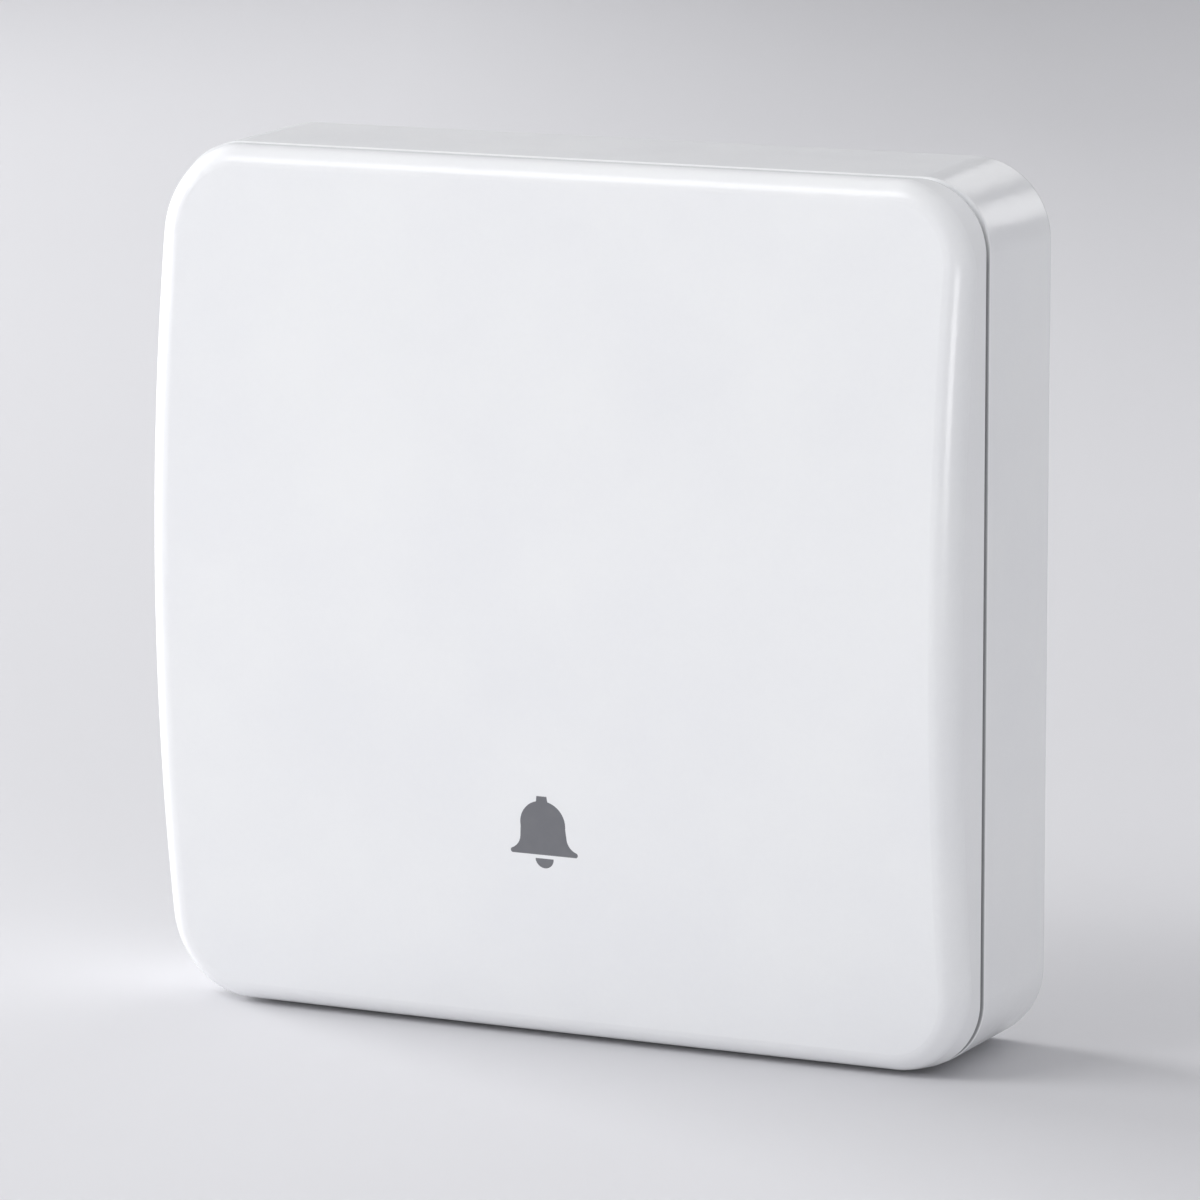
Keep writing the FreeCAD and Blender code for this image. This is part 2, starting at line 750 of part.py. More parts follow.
def contact_strip():
    return strip_blank(1, contact_x - strip_width / 2).removeSplitter()


def fixed_contact():
    return bar(contact_x, switch_z, contact_r, strip_top, strip_top + fixed_contact_height)


def contact_leaf():
    half = leaf_width / 2
    return block(anchor_x, leaf_end, leaf_out, leaf_out + leaf_thick, switch_z - half, switch_z + half)


def leaf_contact():
    return bar(contact_x, switch_z, contact_r, leaf_out - leaf_contact_height, leaf_out)


def terminal_block():
    z0 = terminal_z - block_z
    z1 = terminal_z + block_z
    body = block(-block_x, block_x, chassis_face, block_face, z0, z1)
    upright = [e for e in body.Edges if e.BoundBox.XLength + e.BoundBox.ZLength < 0.01]
    body = body.makeFillet(block_edge_r, upright)
    half_x = clamp_width / 2 + clamp_gap
    half_z = clamp_length / 2 + clamp_gap
    slot_x = strip_width / 2 + strip_slot_gap
    for x in (-terminal_x, terminal_x):
        body = body.cut(block(x - half_x, x + half_x, clamp_out, block_face + over,
                              terminal_z - half_z, terminal_z + half_z))
        body = body.cut(block(x - slot_x, x + slot_x, strip_out, strip_top + strip_slot_gap,
                              z0 - over, terminal_z))
        body = body.cut(bar_along_z(x, strip_top + wire_space / 2, terminal_z, z1 + over, wire_hole_r))
    body = body.cut(bar(0, terminal_z, screw_head_r + block_screw_gap, clamp_out, block_face + over))
    return body.cut(bar(0, terminal_z, screw_r + screw_clearance, chassis_face - over, clamp_out + over))


def terminal_clamp(side):
    x = side * terminal_x
    half = clamp_width / 2
    z0 = terminal_z - clamp_length / 2
    z1 = terminal_z + clamp_length / 2
    window_top = strip_out + clamp_window
    body = block(x - half, x + half, clamp_out, clamp_top, z0, z1)
    body = body.cut(block(x - half + clamp_side, x + half - clamp_side, strip_out, window_top,
                          z0 - over, z1 + over))
    thread = bar(x, terminal_z, terminal_screw_r - terminal_thread_bite, window_top - over, clamp_top + over)
    return body.cut(thread)


def terminal_screws():
    tip = strip_top + wire_space
    seat = clamp_top + terminal_head_lift
    top = seat + terminal_head
    half = head_slot_width / 2
    screws = []
    for x in (-terminal_x, terminal_x):
        head = bar(x, terminal_z, terminal_head_r, seat, top)
        head = head.makeFillet(terminal_head_edge_r, edges_at(head, top))
        screw = head.fuse(bar(x, terminal_z, terminal_screw_r, tip, seat))
        screws.append(screw.cut(block(x - terminal_head_r, x + terminal_head_r, top - terminal_head / 2,
                                      top + over, terminal_z - half, terminal_z + half)))
    return Part.makeCompound(screws)


def all_nodes():
    nodes = {
        "rear_housing": rear_housing(),
        "wall_seal": seal_ring(),
        "cable_grommet": cable_grommet(),
        "chassis": chassis(),
        "fixing_screws": fixing_screws(),
        "press_plate": press_plate(),
        "bell_mark": bell_mark(),
        "switch_base": switch_base(),
        "switch_cap": switch_cap(),
        "switch_screws": switch_screws(),
        "switch_plunger": switch_plunger(),
        "common_strip": common_strip(),
        "contact_strip": contact_strip(),
        "fixed_contact": fixed_contact(),
        "contact_leaf": contact_leaf(),
        "leaf_contact": leaf_contact(),
        "terminal_block": terminal_block(),
        "terminal_screws": terminal_screws(),
    }
    for side, word in ((-1, "left"), (1, "right")):
        nodes["hinge_pin_" + word] = hinge_pin(side)
        nodes["return_spring_" + word] = return_spring(side)
        nodes["stop_pad_" + word] = stop_pad(side)
        nodes["terminal_clamp_" + word] = terminal_clamp(side)
    return nodes


os.makedirs("parts", exist_ok=True)
for name, shape in all_nodes().items():
    shape.exportStep("parts/" + name + ".step")
    print(name, "solids", len(shape.Solids), "volume", round(shape.Volume, 2), "valid", shape.isValid())
print("hinge out", round(hinge_out, 4), "z", hinge_z, "press angle", round(press_angle, 4), "degrees")
print("chassis out", round(chassis_out, 4), "to", round(chassis_face, 4))
print("switch z", switch_z, "plunger travel", round(travel(switch_z), 4))
print("leaf out", round(leaf_out, 4), "leaf turn", round(math.degrees(travel(switch_z) / -pivot_x), 3))
print("grommet length", back_wall + grommet_lip + neck_height, "cable z", cable_z)
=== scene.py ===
import math

import bmesh
import bpy
from mathutils import Matrix, Vector


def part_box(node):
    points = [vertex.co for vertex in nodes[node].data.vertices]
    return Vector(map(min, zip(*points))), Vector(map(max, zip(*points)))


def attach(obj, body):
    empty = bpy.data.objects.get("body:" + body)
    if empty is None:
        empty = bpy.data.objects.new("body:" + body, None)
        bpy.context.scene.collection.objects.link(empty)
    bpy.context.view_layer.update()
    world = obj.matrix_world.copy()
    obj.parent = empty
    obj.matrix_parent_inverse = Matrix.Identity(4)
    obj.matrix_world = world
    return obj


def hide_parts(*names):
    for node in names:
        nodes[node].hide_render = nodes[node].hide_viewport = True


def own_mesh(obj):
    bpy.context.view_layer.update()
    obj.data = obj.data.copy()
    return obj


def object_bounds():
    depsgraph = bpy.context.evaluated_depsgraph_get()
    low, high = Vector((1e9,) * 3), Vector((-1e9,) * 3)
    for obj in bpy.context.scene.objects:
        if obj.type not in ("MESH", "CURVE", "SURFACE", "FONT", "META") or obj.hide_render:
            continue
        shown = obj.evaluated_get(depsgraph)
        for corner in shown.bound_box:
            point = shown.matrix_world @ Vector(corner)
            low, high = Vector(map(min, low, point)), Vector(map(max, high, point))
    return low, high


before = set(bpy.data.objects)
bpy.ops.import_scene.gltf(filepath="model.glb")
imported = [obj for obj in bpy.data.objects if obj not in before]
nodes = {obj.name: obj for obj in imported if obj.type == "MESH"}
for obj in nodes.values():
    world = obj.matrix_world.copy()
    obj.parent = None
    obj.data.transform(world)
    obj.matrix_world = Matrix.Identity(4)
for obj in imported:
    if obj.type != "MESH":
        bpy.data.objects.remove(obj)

mm = 0.001
cadBox = [list(corner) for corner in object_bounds()]
print("frame loaded:", len(nodes), "pieces")


class Wire:
    # a node's output socket; sums on it add Math nodes
    def __init__(self, tree, socket):
        self.tree = tree
        self.socket = socket

    def math(self, operation, first, second):
        return self.tree.node("Math", {"operation": operation}, {0: first, 1: second})

    def __add__(self, other):
        return self.math("ADD", self, other)

    def __sub__(self, other):
        return self.math("SUBTRACT", self, other)

    def __rsub__(self, other):
        return self.math("SUBTRACT", other, self)

    def __mul__(self, other):
        return self.math("MULTIPLY", self, other)

    def __truediv__(self, other):
        return self.math("DIVIDE", self, other)

    def __rtruediv__(self, other):
        return self.math("DIVIDE", other, self)

    __radd__ = __add__
    __rmul__ = __mul__


class Tree:
    # a node tree; node() is the only way its nodes are made
    def node(self, kind, settings=None, values=None, output=0):
        family = "" if kind.startswith(("Geometry", "NodeGroup")) else "ShaderNode"
        made = self.graph.nodes.new(family + kind)
        for key, value in (settings or {}).items():
            setattr(made, key, value)
        for key, value in (values or {}).items():
            # a list holds the wires of a socket that takes several
            for one in value if isinstance(value, list) else [value]:
                if isinstance(one, Wire):
                    self.graph.links.new(one.socket, made.inputs[key])
                else:
                    made.inputs[key].default_value = one
        return Wire(self, made.outputs[output]) if len(made.outputs) else None


class Finish(Tree):
    # one material
    def __init__(self, name):
        self.material = bpy.data.materials.new(name)
        self.material.use_nodes = True
        self.graph = self.material.node_tree
        self.graph.nodes.clear()

    def place(self):
        return self.node("TexCoord", output="Object")

    def noise(self, place, size, detail=2.0, rough=0.5):
        # size is the width of one blotch in millimetres
        return self.node("TexNoise", None, {
            "Vector": place, "Scale": 1 / (size * mm), "Detail": detail, "Roughness": rough})

    def ramp(self, wire, low, high):
        # 0 at low, 1 at high
        return self.node("MapRange", {"clamp": True}, {"Value": wire, "From Min": low, "From Max": high})

    def mix(self, mask, first, second):
        return self.node("Mix", {"data_type": "RGBA"}, {0: mask, 6: first, 7: second}, output=2)

    def bump(self, height, depth, under=None):
        # depth is the height difference in millimetres that height's 0 to 1 stands for
        values = {"Height": height, "Distance": depth * mm, "Strength": 1.0}
        if under is not None:
            values["Normal"] = under
        return self.node("Bump", None, values)

    def surface(self, **values):
        sockets = {key.replace("_", " "): value for key, value in values.items()}
        shader = self.node("BsdfPrincipled", None, sockets)
        self.node("OutputMaterial", None, {"Surface": shader})
        return self.material


def colour(tone):
    # from the 0 to 255 of a colour picker to the shader's linear values
    linear = [((c / 255 + 0.055) / 1.055) ** 2.4 if c > 10 else c / 255 / 12.92 for c in tone]
    return (*linear, 1)


# in each look, tones are 0 to 255, blotch sizes and depths are millimetres,
# and a mask is the noise's value where the second tone begins and where it is full
whitePlastic = {
    "shade": (237, 238, 240), "light": (240, 241, 242), "tintMask": (0.35, 0.65),
    "cloud": 14.0, "cloudShare": 0.8, "speck": 0.5, "speckShare": 0.2,
    "flow": 26.0, "flowDepth": 0.008, "grain": 0.22, "grainDepth": 0.002,
    "roughness": 0.24, "cloudRough": 0.06, "grainRough": 0.05, "ior": 1.5}
# in millimetres, where the painted shade on the housing's rim inside the seam begins and where it is full
paintedSeamShade = {"tone": (146, 147, 149), "out": (-14.86, -14.96), "up": (41.0, 35.0)}


def satinWhite(name, look, seed, rim=None):
    # moulded white plastic: a fine spark-eroded grain over faint flow waves
    f = Finish(name)
    shift = (seed, seed * 0.7, seed * 0.3)
    place = f.node("Mapping", None, {"Vector": f.place(), "Location": shift})
    cloud = f.noise(place, look["cloud"], 3.0)
    speck = f.noise(place, look["speck"], 2.0)
    mottle = cloud * look["cloudShare"] + speck * look["speckShare"]
    tint = f.mix(f.ramp(mottle, *look["tintMask"]), colour(look["shade"]), colour(look["light"]))
    flow = f.noise(place, look["flow"], 1.0)
    grain = f.noise(place, look["grain"], 2.0, 0.6)
    waves = f.bump(flow, look["flowDepth"])
    skin = f.bump(grain, look["grainDepth"], waves)
    rough = look["roughness"] + (cloud - 0.5) * look["cloudRough"] + (grain - 0.5) * look["grainRough"]
    if rim:
        # painted shade on the rim under the cover, but not at the top, where light falls into the seam
        out = f.node("SeparateXYZ", None, {"Vector": f.place()}, output=1)
        up = f.node("SeparateXYZ", None, {"Vector": f.place()}, output=2)
        seamShadeMask = f.ramp(out, *(y * mm for y in rim["out"])) * f.ramp(up, *(z * mm for z in rim["up"]))
        tint = f.mix(seamShadeMask, tint, colour(rim["tone"]))
    return f.surface(Base_Color=tint, Roughness=rough, IOR=look["ior"], Normal=skin)


markPlastic = {
    "shade": (112, 113, 118), "light": (117, 118, 122), "tintMask": (0.3, 0.7), "cloud": 1.6,
    "grain": 0.16, "grainDepth": 0.003, "roughness": 0.42, "cloudRough": 0.08, "ior": 1.5}


def inlayGrey(name, look):
    # the mark's own plastic, a little duller than the plate around it
    f = Finish(name)
    place = f.place()
    cloud = f.noise(place, look["cloud"], 3.0)
    grain = f.noise(place, look["grain"], 2.0)
    tint = f.mix(f.ramp(cloud, *look["tintMask"]), colour(look["shade"]), colour(look["light"]))
    rough = look["roughness"] + (cloud - 0.5) * look["cloudRough"]
    return f.surface(Base_Color=tint, Roughness=rough, IOR=look["ior"],
                     Normal=f.bump(grain, look["grainDepth"]))


rubberSkin = {
    "pit": 0.3, "pitDepth": 0.02, "dust": 3.0, "dustMask": (0.45, 0.75), "dustTone": 46,
    "roughness": 0.72, "dustRough": 0.12, "ior": 1.52}


def rubber(name, tone, bloom, look=rubberSkin):
    # moulded rubber with a dusty bloom over its fine pits
    f = Finish(name)
    place = f.place()
    pits = f.noise(place, look["pit"], 4.0, 0.65)
    dust = f.ramp(f.noise(place, look["dust"], 4.0, 0.6), *look["dustMask"])
    dusty = [min(255, c + look["dustTone"]) for c in tone]
    tint = f.mix(dust * bloom, colour(tone), colour(dusty))
    rough = look["roughness"] + dust * look["dustRough"]
    return f.surface(Base_Color=tint, Roughness=rough, IOR=look["ior"], Normal=f.bump(pits, look["pitDepth"]))


# the shade is a share of the tone
innerMoulding = {
    "shade": 0.93, "tintMask": (0.3, 0.7), "cloud": 6.0, "cloudRough": 0.14, "grainDepth": 0.006, "ior": 1.5}


def mouldedPlastic(name, tone, roughness, grainSize=0.25, look=innerMoulding):
    # a plain inner moulding with flow clouds and a light grain
    f = Finish(name)
    place = f.place()
    cloud = f.noise(place, look["cloud"], 4.0, 0.6)
    grain = f.noise(place, grainSize, 3.0)
    dark = [c * look["shade"] for c in tone]
    tint = f.mix(f.ramp(cloud, *look["tintMask"]), colour(dark), colour(tone))
    rough = roughness + (cloud - 0.5) * look["cloudRough"]
    return f.surface(Base_Color=tint, Roughness=rough, IOR=look["ior"],
                     Normal=f.bump(grain, look["grainDepth"]))


metalSkin = {
    "line": 0.12, "lineRough": 0.12, "spot": 1.4, "spotMask": (0.5, 0.72), "spotTint": 0.7, "spotRough": 0.16}


def metal(name, tone, stain, roughness, stretch, lineDepth=0.004, look=metalSkin):
    # plated or rolled metal: fine lines along its working direction, and faint stains
    f = Finish(name)
    place = f.place()
    along = f.node("Mapping", None, {"Vector": place, "Scale": stretch})
    lines = f.noise(along, look["line"], 3.0, 0.6)
    spots = f.ramp(f.noise(place, look["spot"], 5.0, 0.65), *look["spotMask"])
    tint = f.mix(spots * look["spotTint"], colour(tone), colour(stain))
    rough = roughness + spots * look["spotRough"] + (lines - 0.5) * look["lineRough"]
    return f.surface(Base_Color=tint, Metallic=1.0, Roughness=rough, Normal=f.bump(lines, lineDepth))


finishes = {
    "plate_white": satinWhite("plateWhite", whitePlastic, 0.0),
    "housing_white": satinWhite("housingWhiteSeamShaded", whitePlastic, 0.31, paintedSeamShade),
    "mark_grey": inlayGrey("markGrey", markPlastic),
    "seal_rubber": rubber("sealRubber", (58, 59, 60), 0.5),
    "grommet_rubber": rubber("grommetRubber", (44, 45, 46), 0.6),
    "pad_rubber": rubber("padRubber", (70, 70, 70), 0.4),
    "chassis_plastic": mouldedPlastic("chassisPlastic", (196, 198, 200), 0.5),
    "switch_dark": mouldedPlastic("switchDark", (52, 50, 48), 0.42, 0.18),
    "switch_grey": mouldedPlastic("switchGrey", (128, 130, 132), 0.45, 0.18),
    "plunger_white": mouldedPlastic("plungerWhite", (232, 230, 224), 0.3, 0.4),
    "block_black": mouldedPlastic("blockBlack", (34, 34, 36), 0.38),
    "zinc_steel": metal("zincSteel", (196, 200, 204), (176, 172, 150), 0.3, (1, 0.15, 1)),
    "pin_steel": metal("pinSteel", (188, 190, 194), (150, 146, 140), 0.22, (0.1, 1, 1)),
    "spring_steel": metal("springSteel", (160, 162, 166), (122, 112, 100), 0.3, (1, 1, 1), 0.002),
    "strip_brass": metal("stripBrass", (214, 180, 104), (176, 132, 72), 0.28, (1, 1, 0.1)),
    "clamp_brass": metal("clampBrass", (208, 184, 124), (170, 140, 88), 0.32, (1, 0.2, 1)),
    "leaf_bronze": metal("leafBronze", (206, 150, 108), (166, 108, 74), 0.26, (0.1, 1, 1)),
    "contact_metal": metal("contactMetal", (222, 222, 220), (190, 184, 170), 0.2, (1, 1, 1)),
}
for piece in nodes.values():
    for held in piece.material_slots:
        held.material = finishes[held.material.name.split(".")[0]]
print("finishes made:", len(finishes))


def joinPoints(mesh, reach, outwards=False):
    # joins points that lie within reach of each other, and turns the faces outwards if asked
    shell = bmesh.new()
    shell.from_mesh(mesh)
    bmesh.ops.remove_doubles(shell, verts=shell.verts, dist=reach)
    if outwards:
        bmesh.ops.recalc_face_normals(shell, faces=shell.faces)
    shell.to_mesh(mesh)
    shell.free()


# points this near become one, in metres; edges sharper than this many degrees stay sharp
meshing = {"joinWithin": 1e-6, "sharpFrom": 35}


class Recipe(Tree):
    # a Geometry Nodes tree whose sizes, in metres, are its named inputs
    def __init__(self, name, sizes):
        self.graph = bpy.data.node_groups.new(name, "GeometryNodeTree")
        self.sizes = sizes
        sockets = self.graph.interface
        sockets.new_socket("Geometry", in_out="OUTPUT", socket_type="NodeSocketGeometry")
        sockets.new_socket("Points", in_out="INPUT", socket_type="NodeSocketGeometry")
        self.inputs = {key: sockets.new_socket(key, in_out="INPUT", socket_type="NodeSocketFloat").identifier
                       for key in sizes}
        self.points = self.node("NodeGroupInput")

    def size(self, name):
        return Wire(self, self.points.socket.node.outputs[name])

    def moved(self, shape, out):
        shift = self.node("CombineXYZ", None, {"Z": out})
        return self.node("GeometryNodeTransform", None, {"Geometry": shape, "Translation": shift})

    def joined(self, shapes):
        return self.node("GeometryNodeJoinGeometry", None, {"Geometry": shapes})

    def turned(self, stations, sides):
        # a lathe shape through heights and radii, closed at both ends
        shells = []
        for (low, lowRadius), (high, highRadius) in zip(stations, stations[1:]):
            ring = self.node("GeometryNodeMeshCone", {"fill_type": "NONE"}, {
                "Vertices": sides, "Radius Bottom": lowRadius, "Radius Top": highRadius, "Depth": high - low})
            shells.append(self.moved(ring, low))
        discs = [self.node("GeometryNodeMeshCircle", {"fill_type": "NGON"}, {
            "Vertices": sides, "Radius": radius}) for out, radius in (stations[0], stations[-1])]
        under = self.node("GeometryNodeFlipFaces", None, {"Mesh": discs[0]})
        shells += [self.moved(under, stations[0][0]), self.moved(discs[1], stations[-1][0])]
        return self.node("GeometryNodeMergeByDistance", None, {
            "Geometry": self.joined(shells), "Distance": meshing["joinWithin"]})

    def make(self, name, shape, finish, points):
        # runs the tree on single points and returns the plain mesh as an object
        real = self.node("GeometryNodeRealizeInstances", None, {"Geometry": shape})
        coated = self.node("GeometryNodeSetMaterial", None, {"Geometry": real, "Material": finish})
        self.node("NodeGroupOutput", None, {"Geometry": coated})
        seed = bpy.data.meshes.new(name)
        seed.from_pydata(points, [], [])
        piece = bpy.data.objects.new(name, seed)
        bpy.context.collection.objects.link(piece)
        recipe = piece.modifiers.new("recipe", "NODES")
        recipe.node_group = self.graph
        for key, identifier in self.inputs.items():
            recipe[identifier] = self.sizes[key]
        ready = piece.evaluated_get(bpy.context.evaluated_depsgraph_get())
        made = bpy.data.meshes.new_from_object(ready)
        piece.modifiers.remove(recipe)
        joinPoints(made, meshing["joinWithin"], outwards=True)
        made.shade_smooth()
        made.set_sharp_from_angle(angle=math.radians(meshing["sharpFrom"]))
        piece.data = made
        print("made", name, "with", len(made.polygons), "faces")
        return piece


# sizes in millimetres; the ring's outline and depth come from the node's box
sealShape = {
    "band": 2.4, "corner": 3.6, "cornerSteps": 10, "base": 0.5, "baseEdge": 0.12, "edgeSteps": 4,
    "bead": 0.28, "beadSides": 16, "spread": 1.4}


def wallSeal(shape):
    # a moulded ring with two beads that press on the wall
    low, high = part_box("wall_seal")
    sizes = {"Width": high[0] - low[0], "Height": high[2] - low[2], "Depth": high[1] - low[1],
             "Band": shape["band"] * mm, "Corner": shape["corner"] * mm, "Base": shape["base"] * mm,
             "Base Edge": shape["baseEdge"] * mm, "Bead": shape["bead"] * mm, "Spread": shape["spread"] * mm}
    r = Recipe("wallSeal", sizes)
    band, base, bead = r.size("Band"), r.size("Base"), r.size("Bead")

    def swept(inset, section, out):
        path = r.node("GeometryNodeCurvePrimitiveQuadrilateral", None, {
            "Width": r.size("Width") - inset * 2, "Height": r.size("Height") - inset * 2})
        path = r.node("GeometryNodeFilletCurve", {"mode": "POLY"}, {
            "Curve": path, "Radius": r.size("Corner") - inset, "Count": shape["cornerSteps"]})
        path = r.node("GeometryNodeSetCurveNormal", {"mode": "Z_UP"}, {"Curve": path})
        ring = r.node("GeometryNodeCurveToMesh", None, {"Curve": path, "Profile Curve": section})
        return r.moved(ring, out)

    flat = r.node("GeometryNodeCurvePrimitiveQuadrilateral", None, {"Width": band, "Height": base})
    flat = r.node("GeometryNodeFilletCurve", {"mode": "POLY"}, {
        "Curve": flat, "Radius": r.size("Base Edge"), "Count": shape["edgeSteps"]})
    wire = r.node("GeometryNodeCurvePrimitiveCircle", None, {
        "Resolution": shape["beadSides"], "Radius": bead})
    rings = [swept(band / 2, flat, r.size("Depth") - base / 2)]
    for side in (-0.5, 0.5):
        rings.append(swept(band / 2 + r.size("Spread") * side, wire, bead))
    onWall = r.node("GeometryNodeTransform", None, {
        "Geometry": r.joined(rings), "Rotation": (math.pi / 2, 0, 0)})
    shaped = r.node("GeometryNodeInstanceOnPoints", None, {"Points": r.points, "Instance": onWall})
    middle = tuple((a + b) / 2 for a, b in zip(low, high))
    seal = r.make("wallSeal", shaped, finishes["seal_rubber"], [(middle[0], 0, middle[2])])
    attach(seal, "housing")
    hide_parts("wall_seal")


# each set: its node, the screw's sizes and seats in millimetres, and the turn that aims its head
screwSets = {
    "fixingScrews": {
        "node": "fixing_screws", "core": 1.15, "crest": 1.4, "pitch": 0.9, "length": 6.23,
        "head": 2.6, "rise": 1.9, "edge": 0.6, "slotWidth": 0.7, "slotDepth": 1.0, "slotReach": 3.2,
        "cross": True, "aim": math.pi / 2,
        "seats": [(-34.5, -9.833, 28), (34.5, -9.833, 28), (-35, -9.833, -22), (35, -9.833, -22),
                  (0, -11.433, 13)]},
    "switchScrews": {
        "node": "switch_screws", "core": 0.72, "crest": 0.9, "pitch": 0.6, "length": 10.0,
        "head": 1.5, "rise": 1.3, "edge": 0.35, "slotWidth": 0.7, "slotDepth": 0.65, "slotReach": 4.0,
        "cross": False, "aim": 0.0,
        "seats": [(-4.75, -11.433, -16.7), (4.75, -11.433, -16.7)]},
    "terminalScrews": {
        "node": "terminal_screws", "core": 1.5, "crest": 1.75, "pitch": 0.6, "length": 2.3,
        "head": 2.9, "rise": 1.4, "edge": 0.4, "slotWidth": 0.9, "slotDepth": 0.7, "slotReach": 6.4,
        "cross": False, "aim": math.pi / 2,
        "seats": [(-12, -17.933, 13), (12, -17.933, 13)]},
}
# tip, taper and threadStart are shares of the core's radius, neck of the head's rise;
# domeTurns are the angles of the head's rounded edge, in radians
screwForm = {
    "tip": 0.6, "taper": 0.5, "threadStart": 0.7, "neck": 0.2, "domeTurns": (0.0, 0.4, 0.8, 1.2, math.pi / 2),
    "shankSides": 24, "headSides": 40, "threadSteps": 20, "threadSides": 3}


def makeScrews(name, s, form):
    # one screw with a cut thread and a rounded head, set on each of its seats
    sizes = {"Core": s["core"], "Crest": s["crest"], "Pitch": s["pitch"], "Length": s["length"],
             "Head": s["head"], "Rise": s["rise"], "Edge": s["edge"], "Slot Width": s["slotWidth"],
             "Slot Depth": s["slotDepth"], "Slot Reach": s["slotReach"]}
    r = Recipe(name, {key: value * mm for key, value in sizes.items()})
    core, crest, pitch, length = (r.size(key) for key in ("Core", "Crest", "Pitch", "Length"))
    head, rise, edge = (r.size(key) for key in ("Head", "Rise", "Edge"))
    reach, width, depth = (r.size(key) for key in ("Slot Reach", "Slot Width", "Slot Depth"))
    bottom = 0.0 - length
    shank = r.turned([(bottom, core * form["tip"]), (bottom + core * form["taper"], core),
                      (rise * form["neck"], core)], form["shankSides"])
    dome = [(rise - edge * (1 - math.sin(a)), head - edge * (1 - math.cos(a))) for a in form["domeTurns"]]
    crown = r.turned([(0.0, head)] + dome, form["headSides"])
    cutters = []
    for long, short in ((reach, width), (width, reach))[:2 if s["cross"] else 1]:
        size = r.node("CombineXYZ", None, {"X": long, "Y": short, "Z": depth * 2})
        cutters.append(r.moved(r.node("GeometryNodeMeshCube", None, {"Size": size}), rise))
    crown = r.node("GeometryNodeMeshBoolean", {"operation": "DIFFERENCE", "solver": "MANIFOLD"}, {
        "Mesh 1": crown, "Mesh 2": cutters})
    run = length - core
    coil = r.node("GeometryNodeCurveSpiral", None, {
        "Resolution": form["threadSteps"], "Rotations": run / pitch, "Start Radius": core, "End Radius": core,
        "Height": run})
    ridge = r.node("GeometryNodeCurvePrimitiveCircle", None, {
        "Resolution": form["threadSides"], "Radius": crest - core})
    thread = r.node("GeometryNodeCurveToMesh", None, {
        "Curve": coil, "Profile Curve": ridge, "Fill Caps": True})
    screw = r.joined([shank, crown, r.moved(thread, bottom + core * form["threadStart"])])
    placed = r.node("GeometryNodeInstanceOnPoints", None, {
        "Points": r.points, "Instance": screw, "Rotation": (s["aim"], 0, 0)})
    seats = [tuple(c * mm for c in seat) for seat in s["seats"]]
    screws = r.make(name, placed, finishes["zinc_steel"], seats)
    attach(screws, "housing")
    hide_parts(s["node"])


wallSeal(sealShape)
for name, screwSet in screwSets.items():
    makeScrews(name, screwSet, screwForm)


# sizes and seats in millimetres; pressed is the share of its length that the spring keeps under the cover
returnSpring = {
    "coil": 2.5, "wire": 0.225, "wireSides": 14, "turns": 6.5, "turnSteps": 32, "pressed": 0.935,
    "seats": {"left": (-22, -9.833, -26), "right": (22, -9.833, -26)}}


def makeSpring(side, s):
    # a coil of round wire that stands on the chassis under the cover
    node = "return_spring_" + side
    low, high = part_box(node)
    sizes = {"Coil": s["coil"] * mm, "Wire": s["wire"] * mm, "Height": high[1] - low[1] - 2 * s["wire"] * mm}
    r = Recipe(node, sizes)
    path = r.node("GeometryNodeCurveSpiral", None, {
        "Resolution": s["turnSteps"], "Rotations": s["turns"], "Start Radius": r.size("Coil"),
        "End Radius": r.size("Coil"), "Height": r.size("Height")})
    ring = r.node("GeometryNodeCurvePrimitiveCircle", None, {
        "Resolution": s["wireSides"], "Radius": r.size("Wire")})
    coil = r.node("GeometryNodeCurveToMesh", None, {"Curve": path, "Profile Curve": ring, "Fill Caps": True})
    placed = r.node("GeometryNodeInstanceOnPoints", None, {
        "Points": r.points, "Instance": coil, "Rotation": (math.pi / 2, 0, 0)})
    seat = tuple(c * mm for c in s["seats"][side])
    start = (seat[0], high[1] - s["wire"] * mm, seat[2])
    spring = r.make("returnSpring" + side.capitalize(), placed, finishes["spring_steel"], [start])
    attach(spring, "housing")
    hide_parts(node)
    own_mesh(spring)


for side in returnSpring["seats"]:
    makeSpring(side, returnSpring)


# a corner normal agrees with its face when their dot product is at least this; joinWithin is in metres
coverSkin = {"agreement": 0.3, "joinWithin": 1e-7}


def coverPlate(s):
    # the press plate's own shape; a corner normal that strays from its face would show as a dark mark
    shape = nodes["press_plate"].data.copy()
    kept = shape.attributes.new("keptNormal", "FLOAT_VECTOR", "CORNER")
    for corner, normal in zip(kept.data, shape.corner_normals):
        corner.vector = normal.vector
    joinPoints(shape, s["joinWithin"])
    kept = shape.attributes["keptNormal"]
    normals = [corner.vector.copy() for corner in kept.data]
    shape.attributes.remove(kept)
    mended = 0
    for face in shape.polygons:
        for corner in face.loop_indices:
            if normals[corner].dot(face.normal) < s["agreement"]:
                normals[corner] = face.normal.copy()
                mended += 1
    shape.normals_split_custom_set(normals)
    cover = bpy.data.objects.new("coverPlate", shape)
    bpy.context.collection.objects.link(cover)
    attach(cover, "press_plate")
    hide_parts("press_plate")
    print("made coverPlate,", mended, "corner normals mended")


coverPlate(coverSkin)


# angles in degrees, lengths in millimetres, and the near and far clip in metres
view = {
    "azimuth": 25.101, "elevation": 10.483, "roll": -0.137, "distance": 650.7,
    "target": (2.706, -15.35, 0.087), "lens": 200.951, "sensor": 36.0, "clip": (0.01, 100)}


